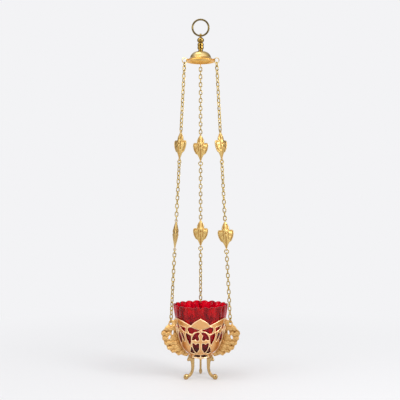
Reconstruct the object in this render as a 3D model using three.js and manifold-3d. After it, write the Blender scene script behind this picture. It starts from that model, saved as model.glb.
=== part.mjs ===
// Hanging vigil oil lamp: a red pressed glass in an openwork gilt holder on three
// feet, hung by three link chains with leaf ornaments from a domed cap, a swivel
// and a ring. Millimetres, +Z up. Heights below are above the plane of the feet,
// and the finished group is lowered so that the origin is where the ring bears on
// its hook.
import * as THREE from 'three';
import { mergeVertices } from 'three/addons/utils/BufferGeometryUtils.js';
import Module from 'manifold-3d';

const wasm = await Module();
wasm.setup();

const TURN = 2 * Math.PI;
const DEGREE = Math.PI / 180;

// Gap left between two pieces that touch.
const GAP = 0.3;

// Hanging ring and swivel.
const RING_RADIUS = 11.8;
const RING_WIRE = 1.2;
const RING_CENTRE = 508.8;
const HOOK_HEIGHT = RING_CENTRE + RING_RADIUS - RING_WIRE;
const RING_LOW = RING_CENTRE - RING_RADIUS;
const EYE_THICKNESS = 3;
const EYE_HOLE = 1.65;
const EYE_RADIUS = 3.1;
const BALL_RADIUS = 5;
const BALL_HEIGHT = 490.4;
const COLLAR_TOP = 486.6;
const COLLAR_RADIUS = 4.5;
const NECK_RADIUS = 2.9;
const STEM_RADIUS = 1.7;
const NUT_RADIUS = 4.2;
const NUT_HEIGHT = 2.6;

// Cap that spreads the three chains.
const CAP_RADIUS = 21.8;
const CAP_TOP = 474.4;
const DOME_RADIUS = 15.5;
const DOME_FOOT = 464;
const CAP_LIP = 458.9;
const CAP_WALL = 1.2;
const NUT_TOP = CAP_TOP - CAP_WALL - 3 * GAP;
const EYELET_WIRE = 0.62;
const EYELET_RADIUS = 3.85;
const EYELET_REACH = 26.6;
const EYELET_HEIGHT = 458.5;

// Chains: from the bearing point in an eyelet to the one in a bracket.
const TOP_BEARING = EYELET_HEIGHT - EYELET_RADIUS + EYELET_WIRE;
const BOTTOM_REACH = 48.8;
const BOTTOM_BEARING = 84.6;
const WIRE = 0.6;
const LINK_WIDTH = 5.2;
const LINK_LENGTH = 7.9;
const LINK_END = 2.9;
const LINK_BITE = 0.25;
const JUMP_RING = 7;
const STRETCHES = { upper: 16, middle: 14, lower: 16 };

// Leaf ornaments in the chains.
const LEAF_HEIGHT = 39;
const LEAF_EYE_HOLE = 1.1;
const LEAF_EYE_RADIUS = 2.3;
const LEAF_EYE_THICKNESS = 1.4;
const LEAF_SPAN = 43;

// Openwork holder.
const HOLDER_WALL = 1.6;
const HOLDER_TOP = 95;
const FLOOR_FOOT = 31.5;
const FLOOR_TOP = 33;
const PANEL_HALF = 60;
const BRACKET_THICKNESS = 2.2;
const LUG_THICKNESS = 1.2;
const CHAIN_HOLE = 1.9;
const BASE_RADIUS = 13.5;
const BASE_TOP = 31.2;
const BASE_THICKNESS = 1.2;
const SCREW_RADIUS = 2;
const LEG_THICKNESS = 3;
const FOOT_RADIUS = 4.2;
const FOOT_HALF = 2.5;
const FOOT_REACH = 24;
const FOOT_FLAT = 0.5;

// Glass, float and wick.
const GLASS_RADIUS = 40;
const GLASS_TOP = 106.7;
const GLASS_WALL = 2.4;
const SCALLOPS = 20;
const SCALLOP_DEPTH = 1.7;
const SCALLOP_RISE = 1.9;
const FLOAT_RADIUS = 12;
const FLOAT_THICKNESS = 5;
const FLOAT_HEIGHT = 41.2;
const WICK_RADIUS = 1.4;

const STRANDS = [
  { side: 'back', azimuth: 90, twists: { upper: 0, middle: 0, lower: 90 } },
  { side: 'left', azimuth: 210, twists: { upper: 20, middle: -50, lower: -60 } },
  { side: 'right', azimuth: 330, twists: { upper: -20, middle: -40, lower: -30 } },
];

const finish = (color, roughness, metalness, more = {}) =>
  new THREE.MeshStandardMaterial({ color, roughness, metalness, ...more });

const POLISHED = finish(0xd9a84a, 0.18, 1);
const CAST = finish(0xd3a04b, 0.42, 1);
const CHAIN_WIRE = finish(0xcfb27a, 0.3, 1);
const RED_GLASS = finish(0xa0061a, 0.05, 0, { transparent: true, opacity: 0.6 });
const CORK = finish(0xb98a5a, 0.9, 0);
const COTTON = finish(0xf1ead8, 1, 0);

const point = (x, y) => new THREE.Vector2(x, y);
const moved = (geometry, x, y, z) => geometry.translate(x, y, z);

// A closed geometry as a solid that can be joined and cut.
function solidOf(geometry) {
  const bare = geometry.clone();
  bare.deleteAttribute('normal');
  bare.deleteAttribute('uv');
  const merged = mergeVertices(bare, 1e-4);
  const corners = merged.index.array;
  const triangles = [];
  for (let i = 0; i < corners.length; i += 3) {
    const [a, b, c] = corners.slice(i, i + 3);
    if (a !== b && b !== c && c !== a) triangles.push(a, b, c);
  }
  return new wasm.Manifold(new wasm.Mesh({
    numProp: 3,
    vertProperties: new Float32Array(merged.attributes.position.array),
    triVerts: new Uint32Array(triangles),
  }));
}

function geometryOf(solid) {
  const mesh = solid.getMesh();
  const geometry = new THREE.BufferGeometry();
  geometry.setAttribute('position', new THREE.BufferAttribute(mesh.vertProperties, 3));
  geometry.setIndex(new THREE.BufferAttribute(mesh.triVerts, 1));
  geometry.computeVertexNormals();
  return geometry;
}

const joined = (geometries) =>
  geometryOf(geometries.map(solidOf).reduce((whole, piece) => whole.add(piece)));

function cut(body, tools) {
  return geometryOf(tools.map(solidOf).reduce((rest, tool) => rest.subtract(tool), solidOf(body)));
}

// A profile of [radius, height] pairs, outer side upwards, turned about Z.
function revolved(profile, segments) {
  const points = profile.map(([radius, height]) => point(radius, height));
  return new THREE.LatheGeometry(points, segments).rotateX(Math.PI / 2);
}

// A flat outline of [radius, height] pairs stood up in the radial plane, its
// thickness centred on that plane.
function radialPlate(outline, thickness, holes = []) {
  const shape = new THREE.Shape(outline.map(([x, y]) => point(x, y)));
  shape.holes = holes.map((hole) => new THREE.Path(hole));
  const plate = new THREE.ExtrudeGeometry(shape, { depth: thickness, bevelEnabled: false });
  return plate.rotateX(Math.PI / 2).translate(0, thickness / 2, 0);
}

function circle(x, y, radiusX, radiusY, corners, tilt = 0) {
  const points = [];
  for (let i = 0; i < corners; i += 1) {
    const angle = ((i + 0.5) / corners) * TURN;
    const across = Math.cos(angle) * radiusX;
    const along = Math.sin(angle) * radiusY;
    const turn = tilt * DEGREE;
    points.push(point(
      x + across * Math.cos(turn) - along * Math.sin(turn),
      y + across * Math.sin(turn) + along * Math.cos(turn),
    ));
  }
  return points;
}

// Rings of points skinned side to side. Closed ones join their last ring to the
// first, and open ones get a flat end at both sides.
function skinned(rings, isLoop) {
  const sides = rings[0].length;
  const positions = rings.flat(2);
  const index = [];
  const last = isLoop ? rings.length : rings.length - 1;
  for (let i = 0; i < last; i += 1) {
    for (let j = 0; j < sides; j += 1) {
      const a = i * sides + j;
      const b = i * sides + ((j + 1) % sides);
      const c = ((i + 1) % rings.length) * sides + j;
      const d = ((i + 1) % rings.length) * sides + ((j + 1) % sides);
      index.push(a, b, c, b, d, c);
    }
  }
  if (!isLoop) {
    const top = (rings.length - 1) * sides;
    for (let j = 1; j < sides - 1; j += 1) {
      index.push(0, j + 1, j);
      index.push(top, top + j, top + j + 1);
    }
  }
  const geometry = new THREE.BufferGeometry();
  geometry.setAttribute('position', new THREE.Float32BufferAttribute(positions, 3));
  geometry.setIndex(index);
  geometry.computeVertexNormals();
  return geometry;
}

// A closed wire of three sides along flat corners in the YZ plane, one edge
// pointing in and its flat side out.
function wireLoop(corners, wire) {
  const rings = corners.map((corner, i) => {
    const before = corners[(i + corners.length - 1) % corners.length];
    const after = corners[(i + 1) % corners.length];
    const came = corner.clone().sub(before).normalize();
    const goes = after.clone().sub(corner).normalize();
    const along = came.clone().add(goes).normalize();
    const stretch = wire / along.dot(goes);
    const out = point(along.y, -along.x).multiplyScalar(stretch);
    return [
      [0, corner.x - out.x, corner.y - out.y],
      [wire, corner.x + 0.7 * out.x, corner.y + 0.7 * out.y],
      [-wire, corner.x + 0.7 * out.x, corner.y + 0.7 * out.y],
    ];
  });
  return skinned(rings, true);
}

// An oval link with its bearing points above and below its centre.
function chainLink() {
  const side = LINK_WIDTH / 2 - WIRE;
  const end = LINK_LENGTH / 2 - WIRE;
  return wireLoop([
    point(-LINK_END / 2, -end),
    point(LINK_END / 2, -end),
    point(side, 0),
    point(LINK_END / 2, end),
    point(-LINK_END / 2, end),
    point(-side, 0),
  ], WIRE);
}

function jumpRing() {
  const radius = (JUMP_RING / 2 - WIRE) / Math.cos(TURN / 16);
  return wireLoop(circle(0, 0, radius, radius, 8), WIRE);
}

// Face outline of a leaf ornament from the top down: height from the top, half
// width and half thickness.
const LEAF_SECTIONS = [
  [0, 0.9, 0.9],
  [3.1, 2.7, 1.9],
  [10.4, 5.5, 3.7],
  [11.7, 4.9, 4],
  [12.6, 9.4, 4.2],
  [17.5, 11.5, 4.5],
  [22.9, 10.3, 4.1],
  [28.2, 7.2, 3.2],
  [29.8, 4.4, 2.9],
  [LEAF_HEIGHT, 0.9, 0.9],
];

function leafOrnament() {
  const rings = LEAF_SECTIONS.map(([drop, width, thickness]) => {
    const height = LEAF_HEIGHT / 2 - drop;
    return [[thickness, 0, height], [0, -width, height], [-thickness, 0, height], [0, width, height]];
  });
  const eyes = [1, -1].map((end) => {
    const centre = end * (LEAF_SPAN / 2 - LEAF_EYE_HOLE);
    const shape = new THREE.Shape(circle(0, centre, LEAF_EYE_RADIUS, LEAF_EYE_RADIUS, 6));
    const eye = new THREE.ExtrudeGeometry(shape, { depth: LEAF_EYE_THICKNESS, bevelEnabled: false });
    return eye.translate(0, 0, -LEAF_EYE_THICKNESS / 2).rotateX(Math.PI / 2);
  });
  const holes = [1, -1].map((end) => {
    const radius = LEAF_EYE_HOLE / Math.cos(TURN / 12);
    const bore = new THREE.CylinderGeometry(radius, radius, 8, 6);
    return bore.rotateY(TURN / 12).translate(0, 0, end * (LEAF_SPAN / 2 - LEAF_EYE_HOLE));
  });
  return cut(joined([skinned(rings, false), ...eyes]), holes);
}

function hangingRing() {
  const ring = new THREE.TorusGeometry(RING_RADIUS, RING_WIRE, 5, 20);
  return moved(ring.rotateX(Math.PI / 2), 0, 0, RING_CENTRE);
}

// The eye that grips the ring, the ball below it and the stem that turns in the
// collar, in one turned piece.
function swivelHead() {
  const eye = new THREE.CylinderGeometry(EYE_RADIUS, EYE_RADIUS, EYE_THICKNESS, 10);
  const hole = new THREE.CylinderGeometry(EYE_HOLE, EYE_HOLE, 2 * EYE_THICKNESS, 8);
  const stemFoot = NUT_TOP - NUT_HEIGHT - 1;
  const body = revolved([
    [0, stemFoot],
    [STEM_RADIUS, stemFoot],
    [STEM_RADIUS, COLLAR_TOP + GAP],
    [3.6, COLLAR_TOP + GAP],
    [BALL_RADIUS, BALL_HEIGHT - 1.6],
    [BALL_RADIUS, BALL_HEIGHT + 1],
    [3.2, BALL_HEIGHT + 3.4],
    [0, BALL_HEIGHT + 3.8],
  ], 12);
  return cut(
    joined([body, moved(eye.rotateZ(Math.PI / 2), 0, 0, RING_LOW)]),
    [moved(hole.rotateZ(Math.PI / 2), 0, 0, RING_LOW)],
  );
}

function swivelCollar() {
  const bore = STEM_RADIUS + GAP;
  const foot = CAP_TOP + GAP;
  return revolved([
    [bore, foot],
    [NECK_RADIUS + 0.8, foot],
    [NECK_RADIUS, foot + 1.2],
    [NECK_RADIUS, foot + 4],
    [COLLAR_RADIUS, foot + 6],
    [COLLAR_RADIUS, COLLAR_TOP - 2],
    [3.2, COLLAR_TOP],
    [bore, COLLAR_TOP],
    [bore, foot],
  ], 10);
}

function swivelNut() {
  const foot = NUT_TOP - NUT_HEIGHT;
  const bore = STEM_RADIUS + GAP;
  return revolved([
    [bore, foot],
    [NUT_RADIUS, foot],
    [NUT_RADIUS, NUT_TOP],
    [bore, NUT_TOP],
    [bore, foot],
  ], 6);
}

// A spun dome on a wide flared rim, open below, with three cast eyelets.
function cap() {
  const bore = STEM_RADIUS + 2 * GAP;
  const shell = revolved([
    [bore, CAP_TOP - CAP_WALL],
    [9.5, CAP_TOP - CAP_WALL - 2.2],
    [DOME_RADIUS - CAP_WALL, DOME_FOOT - CAP_WALL],
    [CAP_RADIUS - 1.6, CAP_LIP],
    [CAP_RADIUS, CAP_LIP + 0.8],
    [CAP_RADIUS - 0.4, CAP_LIP + 2.2],
    [DOME_RADIUS + 0.3, DOME_FOOT],
    [14.3, DOME_FOOT + 4.4],
    [11.2, DOME_FOOT + 7.9],
    [6.6, CAP_TOP - 0.4],
    [bore, CAP_TOP],
    [bore, CAP_TOP - CAP_WALL],
  ], 20);
  const eyelets = STRANDS.map(({ azimuth }) => {
    const eyelet = new THREE.TorusGeometry(EYELET_RADIUS, EYELET_WIRE, 4, 10);
    return moved(eyelet.rotateX(Math.PI / 2), EYELET_REACH, 0, EYELET_HEIGHT)
      .rotateZ(azimuth * DEGREE);
  });
  const necks = STRANDS.map(({ azimuth }) => {
    const neck = new THREE.BoxGeometry(3.2, 1.4, 1.6);
    return moved(neck, CAP_RADIUS + 0.4, 0, CAP_LIP + 1.2).rotateZ(azimuth * DEGREE);
  });
  return joined([shell, ...necks, ...eyelets]);
}

// Outer profile of the openwork holder, foot to rim.
const HOLDER_PROFILE = [
  [17.2, FLOOR_FOOT],
  [17.6, 35.6],
  [26.8, 42.6],
  [31.4, 50.4],
  [35, 66],
  [40.8, HOLDER_TOP],
];

const holderRadius = (height) => {
  const at = HOLDER_PROFILE.findIndex(([, top]) => top >= height);
  const [lowRadius, low] = HOLDER_PROFILE[Math.max(at - 1, 0)];
  const [highRadius, high] = HOLDER_PROFILE[Math.max(at, 1)];
  return lowRadius + ((highRadius - lowRadius) * (height - low)) / (high - low);
};

// Half of one panel's openings, as [degrees from the panel's middle, height].
// The other half mirrors them.
const OPENINGS = {
  leaf: [[2.6, 74.2], [20, 78.4], [29.6, 76.4], [26.6, 70], [18, 70.4]],
  upperQuarter: [[2.4, 70.8], [11, 70], [20.6, 60.2], [13, 62.3], [5, 60.2], [7.2, 66.2]],
  lowerQuarter: [[5, 54.8], [13, 52.4], [20.6, 54.8], [18, 43.4], [12.8, 40.2], [5.4, 46.2]],
  besideMedallion: [[24, 66], [36.4, 69], [32.6, 57.6], [27, 53.2]],
  underBand: [[36, 77], [51.6, 79.4], [38.6, 71.4]],
  slit: [[45.4, 68.6], [51.6, 68.8], [43.2, 57.4]],
  spandrel: [[25.2, 49.4], [36, 39.8], [22.6, 38.8]],
  footSlot: [[3.6, 35.4], [21, 35.7], [37, 33.6], [3.6, 33.8]],
};

// Openings behind a bracket, given about its plane.
const BEHIND_BRACKET = {
  lens: [[0, 42], [6.4, 60], [0, 70.4]],
  eye: [[0, 73], [3.6, 79], [0, 83]],
};

// The wavy upper edge of half a panel, from its middle leaf to the bracket.
const UPPER_EDGE = [[0, 92], [6, 89.4], [15, 85.2], [21, 81.4], [30, 83.8], [43, 87.4], [60, 89.8]];

// A cutter that goes out through the wall along the opening's own direction.
function wallCutter(outline, azimuth) {
  const middle = outline.reduce((sum, [angle]) => sum + angle, 0) / outline.length;
  const corners = outline.map(([angle, height]) =>
    point(holderRadius(height) * Math.sin((angle - middle) * DEGREE), height));
  const shape = new THREE.Shape(corners);
  const prism = new THREE.ExtrudeGeometry(shape, { depth: 2 * GLASS_RADIUS, bevelEnabled: false });
  return prism.rotateX(Math.PI / 2).rotateZ(Math.PI / 2 + (azimuth + middle) * DEGREE);
}

const mirrored = (outline) => outline.map(([angle, height]) => [-angle, height]).reverse();

// All that lies above the wavy upper edge, as one ring round the holder.
function crownCutter() {
  const panelEdge = [...mirrored(UPPER_EDGE), ...UPPER_EDGE.slice(1, -1)];
  const sections = [];
  for (const { azimuth } of STRANDS) {
    for (const [angle, height] of panelEdge) {
      const direction = (azimuth + PANEL_HALF + angle) * DEGREE;
      const corners = [[0.6, height], [0.6, HOLDER_TOP + 5], [1.4, HOLDER_TOP + 5], [1.4, height]];
      sections.push(corners.map(([share, level]) => [
        share * GLASS_RADIUS * Math.cos(direction),
        share * GLASS_RADIUS * Math.sin(direction),
        level,
      ]));
    }
  }
  return skinned(sections, true);
}

function openworkHolder() {
  const inner = HOLDER_PROFILE.map(([radius, height]) => [radius - HOLDER_WALL, height]).reverse();
  inner[inner.length - 1] = [HOLDER_PROFILE[0][0] - HOLDER_WALL, FLOOR_TOP];
  const bore = SCREW_RADIUS + 2 * GAP;
  const floor = [[bore, FLOOR_TOP], [bore, FLOOR_FOOT]];
  const shell = revolved([...HOLDER_PROFILE, ...inner, ...floor, HOLDER_PROFILE[0]], 18);
  const cutters = [];
  for (const { azimuth } of STRANDS) {
    const panel = azimuth + PANEL_HALF;
    for (const outline of Object.values(OPENINGS)) {
      cutters.push(wallCutter(outline, panel), wallCutter(mirrored(outline), panel));
    }
    for (const half of Object.values(BEHIND_BRACKET)) {
      cutters.push(wallCutter([...half, ...mirrored(half.slice(1, -1))], azimuth));
    }
  }
  cutters.push(crownCutter());
  return cut(shell, cutters);
}

// A pierced leaf plate that carries a chain, in the radial plane.
function bracket() {
  const outline = [
    [39.9, 87.4], [45.4, 87.2], [51.4, 87], [53.2, 81.2], [57, 79], [60, 75.4], [63.8, 73.2],
    [65, 68.4], [62.6, 66.2], [63, 60.6], [60, 58.8], [59.6, 53.2], [56.2, 52], [54.4, 45.4],
    [50.6, 44.8], [47, 39.8], [42.8, 40.6], [36.4, 34.8], [32.6, 36.8], [27, 33.8], [22.4, 33.2],
    [21, 35.2], [18.9, 36.1], [20.6, 37.4], [27.2, 41.2], [31.2, 45], [34.6, 50], [38, 62],
    [40, 70], [41.6, 77.4], [40.6, 80.6], [38.9, 82.4],
  ];
  const holes = [
    circle(BOTTOM_REACH, BOTTOM_BEARING - CHAIN_HOLE, CHAIN_HOLE, CHAIN_HOLE, 8),
    circle(46, 69.6, 1.6, 3.3, 6, 8),
    circle(51, 63.3, 1.9, 2.9, 6, 20),
  ];
  const beside = [1, -1].map((side) => {
    const slab = new THREE.BoxGeometry(10, BRACKET_THICKNESS, 12);
    const offset = (side * (LUG_THICKNESS + BRACKET_THICKNESS)) / 2;
    return moved(slab, BOTTOM_REACH + 0.6, offset, BOTTOM_BEARING + 1);
  });
  return cut(radialPlate(outline, BRACKET_THICKNESS, holes), beside);
}

function baseDisc() {
  const bore = SCREW_RADIUS + GAP;
  return revolved([
    [bore, BASE_TOP - BASE_THICKNESS],
    [BASE_RADIUS, BASE_TOP - BASE_THICKNESS],
    [BASE_RADIUS, BASE_TOP],
    [bore, BASE_TOP],
    [bore, BASE_TOP - BASE_THICKNESS],
  ], 16);
}

// A screw from above through the holder's floor and the disc.
function baseScrew() {
  const foot = BASE_TOP - 4.6;
  const head = FLOOR_TOP + GAP;
  return revolved([
    [0, foot],
    [SCREW_RADIUS, foot],
    [SCREW_RADIUS, head],
    [4, head],
    [4, head + 0.9],
    [2.6, head + 2],
    [0, head + 2],
  ], 8);
}

function baseNut() {
  const top = BASE_TOP - BASE_THICKNESS - GAP;
  const bore = SCREW_RADIUS + GAP;
  return revolved([
    [bore, top - 2.2],
    [4.4, top - 2.2],
    [4.4, top],
    [bore, top],
    [bore, top - 2.2],
  ], 6);
}

// A curved leg with a drooping knob at its shoulder and a flattened ball for a
// foot. It meets the disc from below and the holder's foot from outside.
function leg() {
  const underDisc = BASE_TOP - BASE_THICKNESS - GAP;
  const besideDisc = BASE_RADIUS + 2 * GAP;
  const besideHolder = HOLDER_PROFILE[0][0] + 2 * GAP;
  const outline = [
    [10.4, underDisc], [10.6, 16], [11.8, 10.4], [14, 6], [17.6, 2.6], [23, 1], [24, 5.6],
    [19.6, 6.8], [16.8, 9.8], [15.4, 14.6], [15.9, 22], [16.8, 26.2], [20.2, 25.9],
    [22.2, 28.6], [20.8, 31.6], [20, 34.8], [besideHolder, 34.8], [besideHolder, BASE_TOP],
    [besideDisc, BASE_TOP], [besideDisc, underDisc],
  ];
  const strap = radialPlate(outline, LEG_THICKNESS);
  const foot = new THREE.SphereGeometry(FOOT_RADIUS, 8, 5).rotateX(Math.PI / 2);
  const knob = new THREE.SphereGeometry(1.9, 6, 4).rotateX(Math.PI / 2);
  const below = new THREE.BoxGeometry(20, 20, 10);
  return cut(joined([
    strap,
    moved(foot.scale(1, FOOT_HALF / FOOT_RADIUS, 1), FOOT_REACH, 0, FOOT_RADIUS - FOOT_FLAT),
    moved(knob, 20.6, 0, 27.8),
  ]), [moved(below, FOOT_REACH, 0, -5)]);
}

// Outer profile of the glass, foot to rim, with the share of the scallop that
// reaches each height.
const GLASS_PROFILE = [
  [15.4, 37.2, 0],
  [24, 43.6, 0],
  [28.6, 51.6, 0],
  [32.6, 67.6, 0],
  [GLASS_RADIUS, GLASS_TOP, 1],
];

function glassCup() {
  const corners = 2 * SCALLOPS;
  const ringAt = (radius, height, share) => {
    const ring = [];
    for (let i = 0; i < corners; i += 1) {
      const angle = 1.5 * Math.PI + (i / corners) * TURN;
      const valley = i % 2 === 0 ? share : 0;
      const reach = radius - SCALLOP_DEPTH * valley;
      const level = height - SCALLOP_RISE * valley ** 4;
      ring.push([reach * Math.cos(angle), reach * Math.sin(angle), level]);
    }
    return ring;
  };
  const outer = GLASS_PROFILE.map(([radius, height, share]) => ringAt(radius, height, share));
  const inner = GLASS_PROFILE.map(([radius, height, share], i) => {
    const isRim = i === GLASS_PROFILE.length - 1;
    const lift = i === 0 ? GLASS_WALL + 0.8 : 0.4;
    return ringAt(radius - GLASS_WALL, isRim ? height - 0.2 : height + lift, share);
  }).reverse();
  return skinned([...outer, ...inner], false);
}

function wickFloat() {
  const bore = WICK_RADIUS + 3 * GAP;
  const top = FLOAT_HEIGHT + FLOAT_THICKNESS;
  return revolved([
    [bore, FLOAT_HEIGHT],
    [FLOAT_RADIUS, FLOAT_HEIGHT],
    [FLOAT_RADIUS, top - 0.8],
    [FLOAT_RADIUS - 0.8, top],
    [bore, top],
    [bore, FLOAT_HEIGHT],
  ], 12);
}

// A short tube with a flat brim that rests on the float.
function wickTube() {
  const top = FLOAT_HEIGHT + FLOAT_THICKNESS;
  const bore = WICK_RADIUS + GAP;
  const tube = bore + 0.4;
  return revolved([
    [bore, FLOAT_HEIGHT + 1],
    [tube, FLOAT_HEIGHT + 1],
    [tube, top + GAP],
    [6, top + GAP],
    [6, top + GAP + 0.5],
    [tube, top + GAP + 0.5],
    [tube, top + 4.4],
    [bore, top + 4.4],
    [bore, FLOAT_HEIGHT + 1],
  ], 8);
}

function wick() {
  const top = FLOAT_HEIGHT + FLOAT_THICKNESS;
  return revolved([
    [0, FLOAT_HEIGHT + 0.2],
    [WICK_RADIUS, FLOAT_HEIGHT + 0.2],
    [WICK_RADIUS, top + 6.4],
    [0.7, top + 7.6],
    [0, top + 7.6],
  ], 8);
}

function named(name, geometry, material) {
  const mesh = new THREE.Mesh(geometry, material);
  mesh.name = name;
  return mesh;
}

const CHAIN_RUN = Math.hypot(BOTTOM_REACH - EYELET_REACH, TOP_BEARING - BOTTOM_BEARING);
const CHAIN_LEAN = Math.atan2(BOTTOM_REACH - EYELET_REACH, TOP_BEARING - BOTTOM_BEARING);
const LINK_INNER = LINK_LENGTH - 4 * WIRE;
const RING_INNER = JUMP_RING - 4 * WIRE;

// The link spacing that fills the run between the two bearing points, once the
// end links, rings, ornaments and the gaps between separate pieces are in.
const LINK_COUNT = STRETCHES.upper + STRETCHES.middle + STRETCHES.lower;
const PIECES = 2 * LINK_INNER + 2 * RING_INNER + 2 * LEAF_SPAN;
const LINK_PITCH = (CHAIN_RUN + 10 * GAP + 3 * LINK_BITE - PIECES) / LINK_COUNT;
const STRETCH_LINK = LINK_LENGTH + LINK_PITCH - LINK_INNER - LINK_BITE;

// One chain, hung from its eyelet along the local -Z axis.
function strand({ side, twists }) {
  const group = new THREE.Group();
  group.position.set(EYELET_REACH, 0, TOP_BEARING);
  group.rotation.y = -CHAIN_LEAN;
  const stretch = (STRETCH_LINK - 2 * WIRE) / (LINK_LENGTH - 2 * WIRE);
  let drop = -GAP;
  let turn = 0;
  const hang = (name, geometry, inner, material) => {
    const mesh = named(`${side}_${name}`, geometry, material);
    mesh.position.z = -(drop + inner / 2);
    mesh.rotation.z = turn * DEGREE;
    group.add(mesh);
    drop += inner - GAP;
  };
  hang('top_link', chainLink(), LINK_INNER, CHAIN_WIRE);
  for (const [part, count] of Object.entries(STRETCHES)) {
    const twist = twists[part] / (count + 1);
    const links = [];
    for (let i = 0; i < count; i += 1) {
      turn += 90 + twist;
      const link = chainLink().scale(1, 1, stretch).rotateZ(turn * DEGREE);
      links.push(moved(link, 0, 0, -(drop + (i + 0.5) * LINK_PITCH - LINK_BITE / 2)));
    }
    group.add(named(`${side}_${part}_chain`, joined(links), CHAIN_WIRE));
    drop += count * LINK_PITCH - LINK_BITE - GAP;
    if (part === 'lower') {
      turn += 90 + twist;
      hang('bottom_link', chainLink(), LINK_INNER, CHAIN_WIRE);
    } else {
      turn += twist;
      hang(`${part}_leaf`, leafOrnament(), LEAF_SPAN, CAST);
      hang(`${part}_ring`, jumpRing(), RING_INNER, CHAIN_WIRE);
    }
  }
  return group;
}

const lamp = new THREE.Group();
lamp.position.z = -HOOK_HEIGHT;
lamp.add(
  named('hanging_ring', hangingRing(), POLISHED),
  named('swivel_head', swivelHead(), POLISHED),
  named('swivel_collar', swivelCollar(), POLISHED),
  named('swivel_nut', swivelNut(), POLISHED),
  named('chain_cap', cap(), POLISHED),
  named('openwork_holder', openworkHolder(), CAST),
  named('base_disc', baseDisc(), CAST),
  named('base_screw', baseScrew(), POLISHED),
  named('base_nut', baseNut(), POLISHED),
  named('glass_cup', glassCup(), RED_GLASS),
  named('wick_float', wickFloat(), CORK),
  named('wick_tube', wickTube(), POLISHED),
  named('wick', wick(), COTTON),
);
for (const strandData of STRANDS) {
  const sector = new THREE.Group();
  sector.rotation.z = strandData.azimuth * DEGREE;
  sector.add(
    strand(strandData),
    named(`${strandData.side}_bracket`, bracket(), CAST),
    named(`${strandData.side}_leg`, leg(), CAST),
  );
  lamp.add(sector);
}

export default lamp;
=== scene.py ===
# %% [markdown]
# # A hanging vigil lamp of gilt brass and ruby glass
# A red pressed glass stands in an openwork holder on three feet. Three link chains with leaf ornaments carry
# it from a domed cap, and a swivel and a ring hang the cap from a hook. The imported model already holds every
# piece at its real size and place. This lesson gives each visible piece a smooth, detailed mesh in the space
# of its plain solid, and a finish made of nodes.

import math

import bmesh
import bpy
import numpy as np
from mathutils import Matrix, Vector


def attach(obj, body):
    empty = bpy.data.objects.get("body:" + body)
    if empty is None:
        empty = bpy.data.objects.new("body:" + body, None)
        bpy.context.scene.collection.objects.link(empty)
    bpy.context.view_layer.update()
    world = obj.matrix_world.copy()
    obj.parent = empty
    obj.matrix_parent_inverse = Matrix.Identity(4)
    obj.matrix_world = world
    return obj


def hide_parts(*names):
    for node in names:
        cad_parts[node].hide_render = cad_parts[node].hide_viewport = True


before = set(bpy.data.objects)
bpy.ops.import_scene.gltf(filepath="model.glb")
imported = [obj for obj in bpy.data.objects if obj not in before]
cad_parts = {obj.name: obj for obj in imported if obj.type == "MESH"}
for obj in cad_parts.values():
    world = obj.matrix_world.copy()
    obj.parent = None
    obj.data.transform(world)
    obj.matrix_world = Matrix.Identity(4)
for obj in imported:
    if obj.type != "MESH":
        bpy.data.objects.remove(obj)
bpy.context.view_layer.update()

# %% [markdown]
# The drawings of a lamp like this are in millimetres, with heights above the plane of the feet. The packed
# model is in metres, with its origin where the hook bears in the ring. One small function takes points from
# the first to the second, and a piece is then a list of parts, each of them points and faces. Neighbours
# that move against each other keep one small gap.

# %% From drawing to frame
MM = 0.001
HOOK_HEIGHT = 519.4
GAP = 0.3
AZIMUTH = {"back": 90, "left": 210, "right": 330}
made = {}


def in_frame(points):
    places = np.array(points, float).reshape(-1, 3)
    places[:, 2] -= HOOK_HEIGHT
    return places * MM


def bearing(degrees):
    """Turns a drawing in the XZ plane to a compass direction of the lamp."""
    return Matrix.Rotation(math.radians(degrees), 4, "Z")


def shift(x, z):
    return Matrix.Translation((x, 0, z))


def quarter_turn(axis):
    return Matrix.Rotation(math.pi / 2, 4, axis)


def moved(part, matrix):
    points, faces = part[0], part[1]
    turn = np.array(matrix)
    return (np.asarray(points, float) @ turn[:3, :3].T + turn[:3, 3], faces, *part[2:])


# %% [markdown]
# A closed part drawn in any order of points may come out with faces that look inwards, so each one has its
# doubles merged and its normals recalculated. Sharp edges stay only where two faces meet at more than the
# crease angle, which keeps turned brass round and its rims crisp. A part may carry one number for each
# point: how far that point lies in a hollow, which the finish of cast metal reads to paint shade into hollows.

# %% From parts to a piece
MERGE = 2e-7


def in_scene(name, data):
    thing = bpy.data.objects.new(name, data)
    bpy.context.scene.collection.objects.link(thing)
    return thing


def add_piece(name, parts, finish, body, nodes=(), crease=38):
    points, faces, relief_and_shade = [], [], []
    for part in parts:
        start = len(points)
        places = in_frame(part[0])
        points.extend(places.tolist())
        faces.extend([[start + i for i in face] for face in part[1]])
        relief_and_shade.extend(part[2] if len(part) > 2 else [0.0] * len(places))
    mesh = bpy.data.meshes.new(name)
    mesh.from_pydata(points, [], faces)
    mesh.attributes.new("relief_and_shade", "FLOAT", "POINT").data.foreach_set("value", relief_and_shade)
    shell = bmesh.new()
    shell.from_mesh(mesh)
    bmesh.ops.remove_doubles(shell, verts=shell.verts, dist=MERGE)
    bmesh.ops.recalc_face_normals(shell, faces=shell.faces)
    shell.to_mesh(mesh)
    shell.free()
    mesh.shade_smooth()
    mesh.set_sharp_from_angle(angle=math.radians(crease))
    mesh.materials.append(finish)
    piece = in_scene(name, mesh)
    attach(piece, body)
    if nodes:
        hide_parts(*nodes)
    made[name] = len(mesh.polygons)


# %% [markdown]
# Real corners are never dead sharp: a spun dome, a cast rim and a pressed glass all turn through small radii.
# Rounding swaps each corner of an outline for a short curve, and a turned piece is then a rounded profile of
# radius and height carried once round the axis.

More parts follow.
